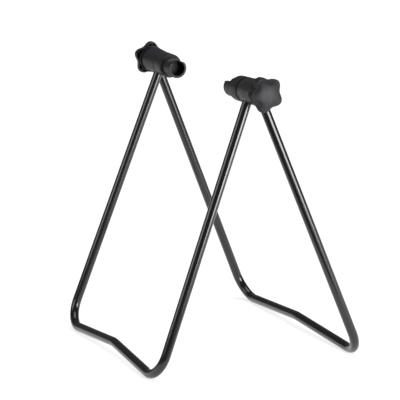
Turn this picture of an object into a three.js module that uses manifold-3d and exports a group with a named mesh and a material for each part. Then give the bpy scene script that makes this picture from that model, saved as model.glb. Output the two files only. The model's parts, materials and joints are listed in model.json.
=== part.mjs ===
// Folding floor stand that holds a bicycle by the ends of its rear axle.
// Two bent steel tube frames, an inner and an outer one, hinge on one axis at the top. On that axis sit
// two plastic hubs. A knob on the outside of each hub turns a screw, which slides a keyed cup towards
// the other hub, and the two cups take the ends of the axle.
//
// Millimetres, +Z up, +X along the hinge axis, +Y from the inner frame's foot to the outer frame's foot.
// The origin is on the floor, below the middle of the hinge axis.

import * as THREE from 'three';
import { mergeVertices } from 'three/addons/utils/BufferGeometryUtils.js';
import Module from 'manifold-3d';

const wasm = await Module();
wasm.setup();

// ---------------------------------------------------------------- driving dimensions

// Tube frames
const TUBE_RADIUS = 6.35;
const TUBE_WALL = 1.2;
const LEG_LENGTH = 394.3; // hinge axis to the point where the leg and foot bar centre lines meet
const OPEN_ANGLE = THREE.MathUtils.degToRad(21.6); // each open frame, from the vertical
const FOLD_ANGLE = THREE.MathUtils.degToRad(41); // travel of the outer frame as it folds
const INNER_TOP_WIDTH = 278.6; // between leg centre lines at the hinge axis
const INNER_FLARE = 31.8; // wider by this much at the foot bar
const OUTER_FLARE = 26.7;
const BAR_RISE = 12.9; // middle of a foot bar above its corners, in the frame's plane
const CORNER_RADIUS = 32; // bend between leg and foot bar, on the centre line
const CREST_RADIUS = 60; // bend in the middle of the foot bar, on the centre line
const LEG_END = 9; // tube beyond the hinge axis

// Hubs
const HUB_TILT = THREE.MathUtils.degToRad(1.8); // outer end of each hub up, square to the flared legs
const BARREL_BORE = 13.6;
const BARREL_FRONT_RADIUS = 15.9;
const BARREL_STEP = 0.5; // the neck stands back from the body by this much
const BARREL_REAR_RADIUS = 17.7; // where the groove begins
const BARREL_NECK = 4.3; // barrel in front of the inner frame's leg
const BARREL_END_WALL = 5.2;
const BARREL_RIM_RADIUS = 18.9;
const BARREL_RIM_WIDTH = 2.4;
const BARREL_GROOVE_RADIUS = 15.8; // bottom of the groove in front of the rim
const BARREL_GROOVE_WIDTH = 5;
const BARREL_GROOVE_SLOPE = 3.5; // the part of that width that slants down to the bottom
const COLLAR_RADIUS = 16.7;
const COLLAR_LENGTH = 20.3;
const SPACER_RADIUS = 10.5;
const SPACER_THICKNESS = 8.3; // holds the two frames' legs apart
const WASHER_RADIUS = 10;
const END_WASHER_THICKNESS = 1.2;
const THRUST_WASHER_THICKNESS = 1.5;
const PLUG_LENGTH = 26;
const PLUG_CAP = 1.5;

// Screws and nuts
const SCREW_RADIUS = 3;
const SCREW_HEAD_FLATS = 10;
const SCREW_HEAD_HEIGHT = 4;
const SCREW_CHAMFER = 0.7;
const NUT_FLATS = 10;
const NUT_HEIGHT = 5;

// Cups
const CUP_RADIUS = 13.3;
const CUP_REACH = 22.5; // cup in front of its collar
const CUP_ENGAGED = 13; // cup inside its collar
const CUP_EXTEND = 6; // travel towards the other hub
const CUP_RETRACT = 5; // travel into the hub
const SOCKET_RADIUS = 10;
const SOCKET_DEPTH = 15.5;
const SOCKET_FLOOR = 2.5;
const NOTCH_HEIGHT = 8; // the cup is cut away above this height over its axis
const NOTCH_LENGTH = 13;
const KEY_WIDTH = 4;
const KEY_HEIGHT = 1.1;
const KEY_LENGTH = 3;
const NUT_COVER = 1.2; // nut pocket deeper than the nut

// Knobs
const KNOB_LOBES = 5;
const KNOB_RADIUS = 24.1;
const KNOB_SCALLOP = 4.9; // depth of the hollows between the lobes
const KNOB_SKIRT = 5.9; // straight height of the lobes
const KNOB_SHOULDER = 3; // rounded height above it
const KNOB_DOME = 4; // height of the domed face
const KNOB_WALL = 2.4;
const KNOB_BOSS_RADIUS = 10.5;
const CLIP_RADIUS = 8;
const CLIP_THICKNESS = 1.2;
const LEFT_KNOB_TURN = THREE.MathUtils.degToRad(66.5);
const RIGHT_KNOB_TURN = THREE.MathUtils.degToRad(47.5);

// Clearances
const FIT_GAP = 0.3; // between pieces that touch or slide
const SWING_GAP = 0.6; // beside the leg that swings in the tilted hub
const SCREW_GAP = 0.7; // round the screw where it crosses the flared legs
const EDGE = 0.8; // chamfer on moulded edges

// Facets
const TUBE_SIDES = 16;
const ROUND_SIDES = 32;
const SMALL_SIDES = 16;
const KNOB_SIDES = 60;
const CORNER_STEPS = 8;
const CREST_STEPS = 4;
const FACE_RINGS = 4; // rings of facets on a knob's domed face
const SHOULDER_STEPS = 3; // facets round a knob's shoulder
const MERGE_DISTANCE = 1e-4;
const CUT_LENGTH = 60; // cutters run this far, well past what they cut

// ---------------------------------------------------------------- materials

const blackPaint = () => new THREE.MeshStandardMaterial({ color: 0x151517, roughness: 0.25, metalness: 0.2 });
const darkPlastic = () => new THREE.MeshStandardMaterial({ color: 0x333335, roughness: 0.6, metalness: 0 });
const whiteNylon = () => new THREE.MeshStandardMaterial({ color: 0xcfcdc4, roughness: 0.5, metalness: 0 });
const zincSteel = () => new THREE.MeshStandardMaterial({ color: 0xb9bcc0, roughness: 0.35, metalness: 1 });

// ---------------------------------------------------------------- solids

/** Signed volume of an indexed triangle mesh, positive with the faces pointing out. */
function signedVolume(vertices, triangles) {
  const corner = (index) => new THREE.Vector3().fromArray(vertices, index * 3);
  let volume = 0;
  for (let i = 0; i < triangles.length; i += 3) {
    const [a, b, c] = [triangles[i], triangles[i + 1], triangles[i + 2]].map(corner);
    volume += a.dot(b.cross(c)) / 6;
  }
  return volume;
}

/** A closed three.js geometry as a solid that can be joined and cut. */
function solid(geometry) {
  const bare = geometry.clone();
  bare.deleteAttribute('normal');
  bare.deleteAttribute('uv');
  const merged = mergeVertices(bare, MERGE_DISTANCE);
  const vertices = merged.attributes.position.array;
  const triangles = [];
  for (let i = 0; i < merged.index.count; i += 3) {
    const [a, b, c] = [0, 1, 2].map((k) => merged.index.getX(i + k));
    if (a !== b && b !== c && c !== a) triangles.push(a, b, c);
  }
  if (signedVolume(vertices, triangles) < 0) triangles.reverse();
  const mesh = new wasm.Mesh({
    numProp: 3,
    vertProperties: new Float32Array(vertices),
    triVerts: new Uint32Array(triangles),
  });
  mesh.merge();
  return new wasm.Manifold(mesh);
}

/** A named mesh of a solid. */
function piece(name, body, material) {
  const { vertProperties, triVerts } = body.getMesh();
  const geometry = new THREE.BufferGeometry();
  geometry.setAttribute('position', new THREE.BufferAttribute(new Float32Array(vertProperties), 3));
  geometry.setIndex(new THREE.BufferAttribute(new Uint32Array(triVerts), 1));
  geometry.computeVertexNormals();
  const mesh = new THREE.Mesh(geometry, material);
  mesh.name = name;
  return mesh;
}

/** A shape turned about X, from [station, radius] points that end on the axis or close on themselves. */
function turned(profile, sides = ROUND_SIDES) {
  const points = profile.map(([station, radius]) => new THREE.Vector2(radius, station));
  if (profile[0][1] > 0) points.push(points[0].clone());
  return new THREE.LatheGeometry(points, sides).rotateZ(-Math.PI / 2);
}

/** A round rod along X. */
function rod(radius, from, to, sides = SMALL_SIDES) {
  return solid(turned([[from, 0], [from, radius], [to, radius], [to, 0]], sides));
}

/** A flat ring or tube along X. */
function ring(outer, inner, from, to, sides = SMALL_SIDES) {
  return solid(turned([[from, inner], [from, outer], [to, outer], [to, inner]], sides));
}

/** A hexagonal prism along X, by its width across the flats. */
function hexagon(flats, from, to) {
  const prism = new THREE.CylinderGeometry(flats / Math.sqrt(3), flats / Math.sqrt(3), to - from, 6);
  return solid(prism.rotateZ(-Math.PI / 2).translate((from + to) / 2, 0, 0));
}

/** A box between two corners. */
function block(low, high) {
  const [dx, dy, dz] = low.map((value, axis) => high[axis] - value);
  const box = new THREE.BoxGeometry(dx, dy, dz);
  return solid(box.translate(low[0] + dx / 2, low[1] + dy / 2, low[2] + dz / 2));
}

/** A solid carried from one group's frame to another's. */
function carried(geometry, from, to) {
  const matrix = to.matrixWorld.clone().invert().multiply(from.matrixWorld);
  return solid(geometry.clone().applyMatrix4(matrix));
}

// ---------------------------------------------------------------- tube frames

/** A centre line given by stations, each a point and its direction, so that straight runs take one step. */
class StationPath extends THREE.Curve {
  constructor(stations) {
    super();
    this.stations = stations;
  }

  station(t) {
    return this.stations[Math.round(t * (this.stations.length - 1))];
  }

  getPoint(t) {
    return this.station(t).point.clone();
  }

  getPointAt(t) {
    return this.getPoint(t);
  }

  getTangent(t) {
    return this.station(t).direction.clone();
  }

  getTangentAt(t) {
    return this.getTangent(t);
  }
}

/** The stations of a round bend at a corner between two straight runs, all in the XZ plane. */
function bend(before, corner, after, radius, steps) {
  const arriving = corner.clone().sub(before).normalize();
  const leaving = after.clone().sub(corner).normalize();
  const turn = arriving.angleTo(leaving);
  const setback = radius * Math.tan(turn / 2);
  const start = corner.clone().addScaledVector(arriving, -setback);
  const side = leaving.clone().addScaledVector(arriving, -leaving.dot(arriving)).normalize();
  const centre = start.clone().addScaledVector(side, radius);
  const stations = [];
  for (let i = 0; i <= steps; i += 1) {
    const angle = (turn * i) / steps;
    const direction = arriving.clone().multiplyScalar(Math.cos(angle)).addScaledVector(side, Math.sin(angle));
    const point = centre.clone().addScaledVector(side, -radius * Math.cos(angle));
    stations.push({ point: point.addScaledVector(arriving, radius * Math.sin(angle)), direction });
  }
  return stations;
}

/** Where a frame's leg crosses the hinge axis, and how it leans, in the frame's own plane. */
function legLine(frame, side) {
  const top = new THREE.Vector3((side * frame.topWidth) / 2, 0, 0);
  const foot = new THREE.Vector3((side * frame.footWidth) / 2, 0, -LEG_LENGTH);
  return { top, foot, down: foot.clone().sub(top).normalize() };
}

/** The centre line of a whole frame, from one leg's top to the other's. */
function frameStations(frame) {
  const [left, right] = [-1, 1].map((side) => legLine(frame, side));
  const crest = new THREE.Vector3(0, 0, BAR_RISE - LEG_LENGTH);
  const start = left.top.clone().addScaledVector(left.down, -LEG_END);
  const finish = right.top.clone().addScaledVector(right.down, -LEG_END);
  return [
    { point: start, direction: left.down.clone() },
    ...bend(start, left.foot, crest, CORNER_RADIUS, CORNER_STEPS),
    ...bend(left.foot, crest, right.foot, CREST_RADIUS, CREST_STEPS),
    ...bend(crest, right.foot, finish, CORNER_RADIUS, CORNER_STEPS),
    { point: finish, direction: right.down.clone().negate() },
  ];
}

/** A hollow tube along the frame's centre line. A full circle takes two sides for each curve segment. */
function bentTube(stations) {
  const section = new THREE.Shape().absarc(0, 0, TUBE_RADIUS, 0, 2 * Math.PI);
  section.holes.push(new THREE.Path().absarc(0, 0, TUBE_RADIUS - TUBE_WALL, 0, 2 * Math.PI));
  return new THREE.ExtrudeGeometry(section, {
    extrudePath: new StationPath(stations),
    steps: stations.length - 1,
    curveSegments: TUBE_SIDES / 2,
  });
}

/** A rod along a leg, from a distance above the hinge axis to a distance below it. */
function legRod(frame, side, radius, above, below, sides = TUBE_SIDES) {
  const { top, down } = legLine(frame, side);
  const lean = Math.atan2(down.x, -down.z);
  const cylinder = new THREE.CylinderGeometry(radius, radius, above + below, sides).rotateX(Math.PI / 2);
  const middle = top.clone().addScaledVector(down, (below - above) / 2);
  return cylinder.rotateY(-lean).translate(middle.x, middle.y, middle.z);
}

/** The depth below the hinge axis that a frame's centre line reaches, in its own plane. */
function frameDepth(frame) {
  return Math.max(...frameStations(frame).map(({ point }) => -point.z));
}

// Beside each other in a hub lie the inner leg, the spacer and the outer leg.
const legSpacing = 2 * TUBE_RADIUS + FIT_GAP + SPACER_THICKNESS + SWING_GAP;
const outerTopWidth = INNER_TOP_WIDTH + 2 * legSpacing;
const innerFrame = { topWidth: INNER_TOP_WIDTH, footWidth: INNER_TOP_WIDTH + INNER_FLARE, lean: -OPEN_ANGLE };
const outerFrame = { topWidth: outerTopWidth, footWidth: outerTopWidth + OUTER_FLARE, lean: OPEN_ANGLE };
const deepest = Math.max(frameDepth(innerFrame), frameDepth(outerFrame));
const AXIS_HEIGHT = deepest * Math.cos(OPEN_ANGLE) + TUBE_RADIUS;

/** A group that hangs from the hinge axis at a lean from the vertical. */
function hangingGroup(frame) {
  const group = new THREE.Group();
  group.position.z = AXIS_HEIGHT;
  group.rotation.x = frame.lean;
  group.updateMatrixWorld(true);
  return group;
}

// ---------------------------------------------------------------- stations along a hub

// Stations run outwards along the hub's own axis, from midway between the two legs.
const hubOffset = (INNER_TOP_WIDTH + legSpacing) / 2;
const innerLeg = -legSpacing / 2;
const outerLeg = legSpacing / 2;
const barrelFront = innerLeg - TUBE_RADIUS - BARREL_NECK;
const endWasherFrom = outerLeg + TUBE_RADIUS + SWING_GAP;
const endWallFrom = endWasherFrom + END_WASHER_THICKNESS + FIT_GAP;
const barrelRear = endWallFrom + BARREL_END_WALL;
const collarRear = barrelFront - FIT_GAP;
const collarFront = collarRear - COLLAR_LENGTH;
const cupTip = collarFront - CUP_REACH;
const cupRear = collarFront + CUP_ENGAGED;
const collarWallFrom = cupRear + CUP_RETRACT + FIT_GAP;
const keyFront = cupRear - KEY_LENGTH;
const keywayFront = keyFront - CUP_EXTEND - FIT_GAP;
const nutRear = cupRear - NUT_COVER;
const nutFront = nutRear - NUT_HEIGHT;
const socketFloor = cupTip + SOCKET_DEPTH;
const screwBoreFront = socketFloor + SOCKET_FLOOR;
const screwTip = screwBoreFront + CUP_RETRACT + FIT_GAP;
const thrustWasherFrom = barrelRear + FIT_GAP;
const knobRear = thrustWasherFrom + THRUST_WASHER_THICKNESS + FIT_GAP;
const clipFrom = knobRear + FIT_GAP;
const screwHeadFrom = clipFrom + CLIP_THICKNESS + FIT_GAP;
const screwHole = SCREW_RADIUS + FIT_GAP;

// ---------------------------------------------------------------- hub pieces

/** The swept space of the outer frame's leg through the underside of a hub, across the hinge axis. */
function legSlot(side) {
  const half = TUBE_RADIUS + SWING_GAP;
  const edge = (lean, sign) => {
    const down = new THREE.Vector2(Math.sin(lean), -Math.cos(lean));
    const across = new THREE.Vector2(Math.cos(lean), Math.sin(lean)).multiplyScalar(sign * half);
    return [across, down.multiplyScalar(CUT_LENGTH).add(across)];
  };
  const [openTop, openFoot] = edge(OPEN_ANGLE, 1);
  const [foldedTop, foldedFoot] = edge(OPEN_ANGLE - FOLD_ANGLE, -1);
  const shape = new THREE.Shape([openTop, foldedTop, foldedFoot, openFoot]);
  const slot = new THREE.ExtrudeGeometry(shape, { depth: 2 * half, bevelEnabled: false });
  const [x, y, z] = [new THREE.Vector3(1, 0, 0), new THREE.Vector3(0, 1, 0), new THREE.Vector3(0, 0, 1)];
  slot.applyMatrix4(new THREE.Matrix4().makeBasis(y, z, x));
  return slot.translate((side * outerTopWidth) / 2 - half, 0, AXIS_HEIGHT);
}

/** The plastic barrel round both legs' tops, with a hole for the inner leg and a slot for the outer one. */
function barrel(name, side, hub, inner, world) {
  const neckEnd = barrelFront + BARREL_NECK;
  const rimFrom = barrelRear - BARREL_RIM_WIDTH;
  const grooveFrom = rimFrom - BARREL_GROOVE_WIDTH;
  const body = solid(turned([
    [barrelFront, BARREL_BORE],
    [barrelFront, BARREL_FRONT_RADIUS],
    [neckEnd, BARREL_FRONT_RADIUS],
    [neckEnd + BARREL_STEP, BARREL_FRONT_RADIUS + BARREL_STEP],
    [grooveFrom, BARREL_REAR_RADIUS],
    [grooveFrom + BARREL_GROOVE_SLOPE, BARREL_GROOVE_RADIUS],
    [rimFrom, BARREL_GROOVE_RADIUS],
    [rimFrom, BARREL_RIM_RADIUS],
    [barrelRear - EDGE / 2, BARREL_RIM_RADIUS],
    [barrelRear, BARREL_RIM_RADIUS - EDGE / 2],
    [barrelRear, screwHole],
    [endWallFrom, screwHole],
    [endWallFrom, BARREL_BORE],
  ]));
  const legHole = legRod(innerFrame, side, TUBE_RADIUS + FIT_GAP, 0, CUT_LENGTH);
  const cut = body
    .subtract(carried(legHole, inner, hub))
    .subtract(carried(legSlot(side), world, hub));
  return piece(`${name}_barrel`, cut, darkPlastic());
}

/** The collar in front of the barrel, in whose bore the cup slides on its key. */
function collar(name) {
  const bore = CUP_RADIUS + FIT_GAP;
  const spigot = BARREL_BORE - FIT_GAP;
  const spigotEnd = innerLeg - TUBE_RADIUS - SWING_GAP;
  const body = solid(turned([
    [collarFront, bore + EDGE],
    [collarFront, COLLAR_RADIUS - EDGE],
    [collarFront + EDGE, COLLAR_RADIUS],
    [collarRear - EDGE / 2, COLLAR_RADIUS],
    [collarRear, COLLAR_RADIUS - EDGE / 2],
    [collarRear, spigot],
    [spigotEnd, spigot],
    [spigotEnd, screwHole],
    [collarWallFrom, screwHole],
    [collarWallFrom, bore],
    [collarFront + EDGE, bore],
  ]));
  const half = KEY_WIDTH / 2 + FIT_GAP;
  const depth = CUP_RADIUS + KEY_HEIGHT + FIT_GAP;
  const keyway = block([keywayFront, -half, -depth], [collarWallFrom, half, -CUP_RADIUS / 2]);
  const reach = rod(COLLAR_RADIUS, collarWallFrom - CUT_LENGTH, collarWallFrom);
  return piece(`${name}_collar`, body.subtract(keyway.intersect(reach)), darkPlastic());
}

/** The sliding cup: an open socket in front, the captive nut's pocket behind, and a key below. */
function cup(name) {
  const body = solid(turned([
    [socketFloor, 0],
    [socketFloor, SOCKET_RADIUS],
    [cupTip + EDGE, SOCKET_RADIUS],
    [cupTip, SOCKET_RADIUS + EDGE],
    [cupTip, CUP_RADIUS - EDGE],
    [cupTip + EDGE, CUP_RADIUS],
    [cupRear - EDGE / 2, CUP_RADIUS],
    [cupRear, CUP_RADIUS - EDGE / 2],
    [cupRear, 0],
  ]));
  const notch = block(
    [cupTip - EDGE, -CUP_RADIUS - EDGE, NOTCH_HEIGHT],
    [cupTip + NOTCH_LENGTH, CUP_RADIUS + EDGE, CUP_RADIUS + EDGE],
  );
  const half = KEY_WIDTH / 2;
  const key = block([keyFront, -half, -CUP_RADIUS - KEY_HEIGHT], [cupRear - EDGE / 2, half, -SOCKET_RADIUS]);
  const pocket = hexagon(NUT_FLATS + 2 * FIT_GAP, nutFront - FIT_GAP, cupRear + EDGE);
  const bore = rod(screwHole, screwBoreFront, cupRear);
  return piece(`${name}_cup`, body.subtract(notch).add(key).subtract(pocket).subtract(bore), darkPlastic());
}

/** The captive nut in the back of a cup. */
function cupNut(name) {
  const cut = hexagon(NUT_FLATS, nutFront, nutRear).subtract(rod(screwHole, nutFront - EDGE, nutRear + EDGE));
  return piece(`${name}_cup_nut`, cut, zincSteel());
}

/** The long screw, its hexagonal head in the knob and its tip in the cup's nut. */
function screw(name) {
  const shank = solid(turned([
    [screwTip, 0],
    [screwTip, SCREW_RADIUS - SCREW_CHAMFER],
    [screwTip + SCREW_CHAMFER, SCREW_RADIUS],
    [screwHeadFrom + SCREW_CHAMFER, SCREW_RADIUS],
    [screwHeadFrom + SCREW_CHAMFER, 0],
  ], SMALL_SIDES));
  const head = hexagon(SCREW_HEAD_FLATS, screwHeadFrom, screwHeadFrom + SCREW_HEAD_HEIGHT);
  return piece(`${name}_screw`, shank.add(head), zincSteel());
}

/** A turned knob's vertices drawn in between the lobes, fading to nothing at the boss. */
function lobed(geometry, turn) {
  const position = geometry.attributes.position;
  for (let i = 0; i < position.count; i += 1) {
    const [y, z] = [position.getY(i), position.getZ(i)];
    const radius = Math.hypot(y, z);
    const hollow = (1 - Math.cos(KNOB_LOBES * (Math.atan2(y, z) - turn))) / 2;
    const reach = THREE.MathUtils.smoothstep(radius, KNOB_BOSS_RADIUS, KNOB_RADIUS);
    const scale = radius > 0 ? 1 - (KNOB_SCALLOP * hollow * reach) / radius : 1;
    position.setY(i, y * scale);
    position.setZ(i, z * scale);
  }
  return geometry;
}

/** The star knob: a domed cap, hollow behind, whose boss takes the screw's head. */
function knob(name, turn) {
  const skirtEnd = knobRear + KNOB_SKIRT;
  const shoulderEnd = skirtEnd + KNOB_SHOULDER;
  const top = shoulderEnd + KNOB_DOME;
  const hollowRadius = KNOB_RADIUS - KNOB_WALL;
  const faceRadius = KNOB_RADIUS - KNOB_SHOULDER;
  const face = Array.from({ length: FACE_RINGS }, (_, i) => {
    const share = (i + 1) / (FACE_RINGS + 1);
    return [top - KNOB_DOME * share ** 2, faceRadius * share];
  });
  const shoulder = Array.from({ length: SHOULDER_STEPS + 1 }, (_, i) => {
    const angle = (i * Math.PI) / (2 * SHOULDER_STEPS);
    return [skirtEnd + KNOB_SHOULDER * Math.cos(angle), faceRadius + KNOB_SHOULDER * Math.sin(angle)];
  });
  const cap = turned([
    [top, 0],
    ...face,
    ...shoulder,
    [knobRear + EDGE, KNOB_RADIUS],
    [knobRear, KNOB_RADIUS - EDGE],
    [knobRear, hollowRadius],
    [skirtEnd, hollowRadius],
    [skirtEnd, KNOB_BOSS_RADIUS],
    [knobRear, KNOB_BOSS_RADIUS],
    [knobRear, 0],
  ], KNOB_SIDES);
  const clipRecess = rod(CLIP_RADIUS + FIT_GAP, knobRear - EDGE, screwHeadFrom - FIT_GAP, ROUND_SIDES);
  const headEnd = screwHeadFrom + SCREW_HEAD_HEIGHT + FIT_GAP;
  const headPocket = hexagon(SCREW_HEAD_FLATS + 2 * FIT_GAP, knobRear - EDGE, headEnd);
  const cut = solid(lobed(cap, turn)).subtract(clipRecess).subtract(headPocket);
  return piece(`${name}_knob`, cut, darkPlastic());
}

/** The hole that the screw takes across the legs, along the hub's own axis. */
function crossHole() {
  const radius = SCREW_RADIUS + SCREW_GAP;
  return new THREE.CylinderGeometry(radius, radius, CUT_LENGTH, SMALL_SIDES).rotateZ(Math.PI / 2);
}

/** The plastic plug in the top of a leg, drilled across for the screw. */
function legPlug(name, frame, side, group, hub) {
  const cap = legRod(frame, side, TUBE_RADIUS, LEG_END + FIT_GAP + PLUG_CAP, -LEG_END - FIT_GAP);
  const stemRadius = TUBE_RADIUS - TUBE_WALL - FIT_GAP;
  const stem = legRod(frame, side, stemRadius, LEG_END + FIT_GAP + PLUG_CAP / 2, PLUG_LENGTH - LEG_END);
  const plug = solid(cap).add(solid(stem)).subtract(carried(crossHole(), hub, group));
  return piece(name, plug, darkPlastic());
}

/** A frame's tube with the screw holes of both hubs drilled across its legs. */
function frameTube(name, frame, group, hubs) {
  let tube = solid(bentTube(frameStations(frame)));
  for (const hub of hubs) tube = tube.subtract(carried(crossHole(), hub, group));
  return piece(name, tube, blackPaint());
}

/** A group whose +X points outwards along one hub's tilted axis. */
function hubGroup(side) {
  const group = new THREE.Group();
  group.position.set(side * hubOffset, 0, AXIS_HEIGHT);
  group.rotation.set(0, -HUB_TILT, side > 0 ? 0 : Math.PI, 'ZYX');
  group.updateMatrixWorld(true);
  return group;
}

/** The pieces that one hub holds on its own axis. */
function fillHub(name, side, turn, hub, inner, world) {
  const spacerFrom = innerLeg + TUBE_RADIUS + FIT_GAP;
  const clip = ring(CLIP_RADIUS, screwHole, clipFrom, clipFrom + CLIP_THICKNESS);
  const spacer = ring(SPACER_RADIUS, screwHole, spacerFrom, spacerFrom + SPACER_THICKNESS);
  const endWasher = ring(WASHER_RADIUS, screwHole, endWasherFrom, endWasherFrom + END_WASHER_THICKNESS);
  const thrustTo = thrustWasherFrom + THRUST_WASHER_THICKNESS;
  const thrustWasher = ring(WASHER_RADIUS, screwHole, thrustWasherFrom, thrustTo);
  hub.add(
    barrel(name, side, hub, inner, world),
    collar(name),
    cup(name),
    cupNut(name),
    screw(name),
    knob(name, turn),
    piece(`${name}_knob_clip`, clip, zincSteel()),
    piece(`${name}_spacer`, spacer, darkPlastic()),
    piece(`${name}_end_washer`, endWasher, whiteNylon()),
    piece(`${name}_thrust_washer`, thrustWasher, zincSteel()),
  );
}

// ---------------------------------------------------------------- assembly

const stand = new THREE.Group();
const inner = hangingGroup(innerFrame);
const outer = hangingGroup(outerFrame);
const leftHub = hubGroup(-1);
const rightHub = hubGroup(1);

inner.add(
  frameTube('inner_frame_tube', innerFrame, inner, [leftHub, rightHub]),
  legPlug('left_inner_leg_plug', innerFrame, -1, inner, leftHub),
  legPlug('right_inner_leg_plug', innerFrame, 1, inner, rightHub),
);
outer.add(
  frameTube('outer_frame_tube', outerFrame, outer, [leftHub, rightHub]),
  legPlug('left_outer_leg_plug', outerFrame, -1, outer, leftHub),
  legPlug('right_outer_leg_plug', outerFrame, 1, outer, rightHub),
);
fillHub('left', -1, LEFT_KNOB_TURN, leftHub, inner, stand);
fillHub('right', 1, RIGHT_KNOB_TURN, rightHub, inner, stand);
stand.add(inner, outer, leftHub, rightHub);

export default stand;
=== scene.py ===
"""Looks of a folding floor stand that holds a bicycle by the ends of its rear axle.

Two bent steel tube frames hinge on one axis at the top. On that axis sit two plastic hubs, each a barrel
round the legs' tops, a collar, a sliding cup for the axle's end, and a star knob on the outside.
Metres, +Z up, +X along the hinge axis, +Y from the inner frame's foot to the outer frame's foot.
"""

import json
import logging
import math
from collections.abc import Callable, Mapping, Sequence
from dataclasses import dataclass, field
from enum import Enum

import bmesh
import bpy
from bpy.types import Material, Mesh, Node, NodeSocket, NodeTree, Object
from mathutils import Matrix, Vector


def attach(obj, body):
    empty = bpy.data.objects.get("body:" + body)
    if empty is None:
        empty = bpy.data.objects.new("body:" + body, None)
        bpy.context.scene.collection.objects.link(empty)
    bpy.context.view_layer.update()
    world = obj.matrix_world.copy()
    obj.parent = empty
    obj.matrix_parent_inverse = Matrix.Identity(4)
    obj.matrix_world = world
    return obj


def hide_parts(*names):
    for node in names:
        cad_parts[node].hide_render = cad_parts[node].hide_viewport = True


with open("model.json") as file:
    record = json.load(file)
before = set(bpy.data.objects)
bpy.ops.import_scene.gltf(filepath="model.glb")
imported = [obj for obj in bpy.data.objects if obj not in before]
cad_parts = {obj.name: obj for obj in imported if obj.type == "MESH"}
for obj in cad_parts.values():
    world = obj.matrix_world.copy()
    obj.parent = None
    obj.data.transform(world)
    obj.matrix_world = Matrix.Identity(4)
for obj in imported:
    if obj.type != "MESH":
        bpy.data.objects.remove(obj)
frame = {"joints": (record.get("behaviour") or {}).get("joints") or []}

LOG = logging.getLogger("stand")
MM = 0.001

# ---------------------------------------------------------------- driving dimensions

# Tube frames
TUBE_RADIUS = 6.33 * MM
TUBE_WALL = 1.2 * MM
LEG_LENGTH = 394.2 * MM
OPEN_ANGLE = math.radians(21.6)
FOLD_ANGLE = math.radians(41)
INNER_TOP_WIDTH = 278.6 * MM
INNER_FLARE = 31.8 * MM
OUTER_FLARE = 26.7 * MM
BAR_RISE = 12.9 * MM
CORNER_RADIUS = 32 * MM
CREST_RADIUS = 60 * MM
LEG_END = 9 * MM

# Hubs
LEG_SPACING = 21.9 * MM
BARREL_BORE = 13.6 * MM
BARREL_FRONT_RADIUS = 15.9 * MM
BARREL_STEP = 0.5 * MM
BARREL_REAR_RADIUS = 17.7 * MM
BARREL_NECK = 4.3 * MM
BARREL_END_WALL = 5.2 * MM
BARREL_RIM_RADIUS = 18.85 * MM
BARREL_RIM_WIDTH = 2.4 * MM
BARREL_GROOVE_RADIUS = 15.8 * MM
BARREL_GROOVE_WIDTH = 5 * MM
BARREL_GROOVE_SLOPE = 3.5 * MM
COLLAR_RADIUS = 16.7 * MM
COLLAR_LENGTH = 20.3 * MM
SPACER_RADIUS = 10.5 * MM
WASHER_RADIUS = 10 * MM
END_WASHER_THICKNESS = 1.2 * MM
THRUST_WASHER_THICKNESS = 1.5 * MM
PLUG_LENGTH = 26 * MM
PLUG_CAP = 1.5 * MM

# Screws and nuts
SCREW_RADIUS = 3 * MM
SCREW_PITCH = 1 * MM
THREAD_DEPTH = 0.45 * MM
SCREW_POINT = 0.7 * MM
SCREW_HEAD_OVERLAP = 0.5 * MM
SCREW_HEAD_FLATS = 10 * MM
SCREW_HEAD_HEIGHT = 4 * MM
NUT_FLATS = 10 * MM
NUT_HEIGHT = 5 * MM

# Cups
CUP_RADIUS = 13.3 * MM
CUP_REACH = 22.5 * MM
CUP_ENGAGED = 13 * MM
CUP_EXTEND = 6 * MM
CUP_RETRACT = 5 * MM
SOCKET_RADIUS = 10 * MM
SOCKET_DEPTH = 15.5 * MM
SOCKET_FLOOR = 2.5 * MM
NOTCH_HEIGHT = 8 * MM
NOTCH_LENGTH = 13 * MM
KEY_WIDTH = 4 * MM
KEY_HEIGHT = 1.1 * MM
KEY_LENGTH = 3 * MM
NUT_COVER = 1.2 * MM

# Knobs
KNOB_LOBES = 5
KNOB_RADIUS = 24.04 * MM
KNOB_SCALLOP = 4.9 * MM
KNOB_SKIRT = 5.9 * MM
KNOB_SHOULDER = 3 * MM
KNOB_DOME = 3.95 * MM
KNOB_WALL = 2.4 * MM
KNOB_BOSS_RADIUS = 10.5 * MM
KNOB_RIB_THICKNESS = 1.4 * MM
KNOB_RIB_ROOT = 0.5 * MM
KNOB_TURNS = {"left": math.radians(66.5), "right": math.radians(47.5)}
CLIP_RADIUS = 8 * MM
CLIP_THICKNESS = 1.2 * MM

# Clearances and edges
FIT_GAP = 0.3 * MM
SWING_GAP = 0.6 * MM
SCREW_GAP = 0.7 * MM
EDGE = 0.8 * MM
SOFT_EDGE = 0.35 * MM
WASHER_EDGE = 0.15 * MM
CUT_LENGTH = 60 * MM
CHAMFER_SLOPE = 1.4
# painted shade: how far the cup socket's darkened band reaches past its wall and its floor
PAINTED_SHADE_MARGIN = 0.1 * MM
PAINTED_SHADE_LIP = 0.5 * MM

# Roundings of turned and moulded edges, from the finest
HAIR = 0.1 * MM
CRISP = 0.2 * MM
KEEN = 0.3 * MM
BROKEN = 0.4 * MM
EASED = 0.5 * MM
BLUNT = 0.6 * MM
DULLED = 0.7 * MM
ROUND = 1.0 * MM
FULL = 1.5 * MM
NOSE = 2.6 * MM

# Fineness of the meshes
TUBE_SIDES = 48
ROUND_SIDES = 96
KNOB_SIDES = 180
BEND_STEPS = 24
FILLET_STEPS = 4
SHOULDER_STEPS = 8
DOME_RINGS = 14
THREAD_SIDES = 32
THREAD_ROWS = 6
SHARP_ANGLE = math.radians(32)
BEVEL_ANGLE = math.radians(38)
MERGE_DISTANCE = 0.002 * MM
WELD_DISTANCE = 0.02 * MM

# Detail of noise: how many finer layers it has
MIDDLING = 3.0
FINE = 4.0

# Names inside the meshes and trees
# painted shade: the name of the point attribute that marks the cup socket's painted shade
PAINTED_SHADE = "grease"
START = "Start Shape"

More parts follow.
